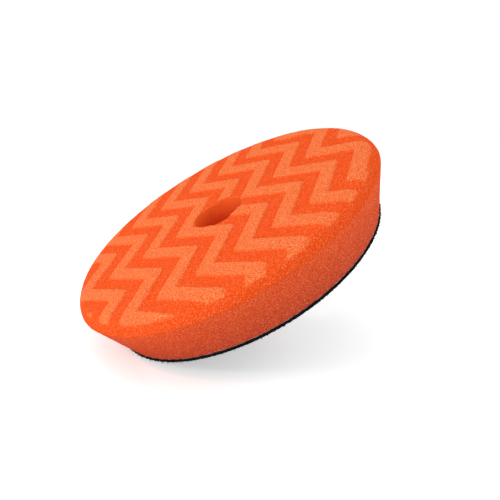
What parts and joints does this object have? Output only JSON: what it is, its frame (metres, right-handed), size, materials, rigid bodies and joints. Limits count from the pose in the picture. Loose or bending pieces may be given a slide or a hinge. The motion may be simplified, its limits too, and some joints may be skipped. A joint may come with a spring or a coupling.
{
  "type": "foam polishing pad",
  "caption": "Round foam polishing pad with a rounded edge, a crease below it, a side that tapers in, pressed zigzag grooves in its face, a centre hole and a loop backing.",
  "frame": {"origin": "middle of the loop backing, at the tips of the loops", "axes": "+Z out of the working face along the spin axis; the zigzag bands run along Y and repeat along X"},
  "size_m": [0.15, 0.15, 0.028],
  "materials": {
    "foam": "matte open-cell polyurethane foam, orange, darker where pressed",
    "hot_melt_film": "satin hot-melt film, pale grey",
    "loop_knit": "matte black warp-knitted polyamide",
    "loop_yarn": "matte black brushed polyamide loops"
  },
  "bodies": {
    "root": {"foam_body": "foam", "adhesive_film": "hot_melt_film", "loop_ground": "loop_knit", "loop_pile": "loop_yarn"}
  },
  "joints": []
}
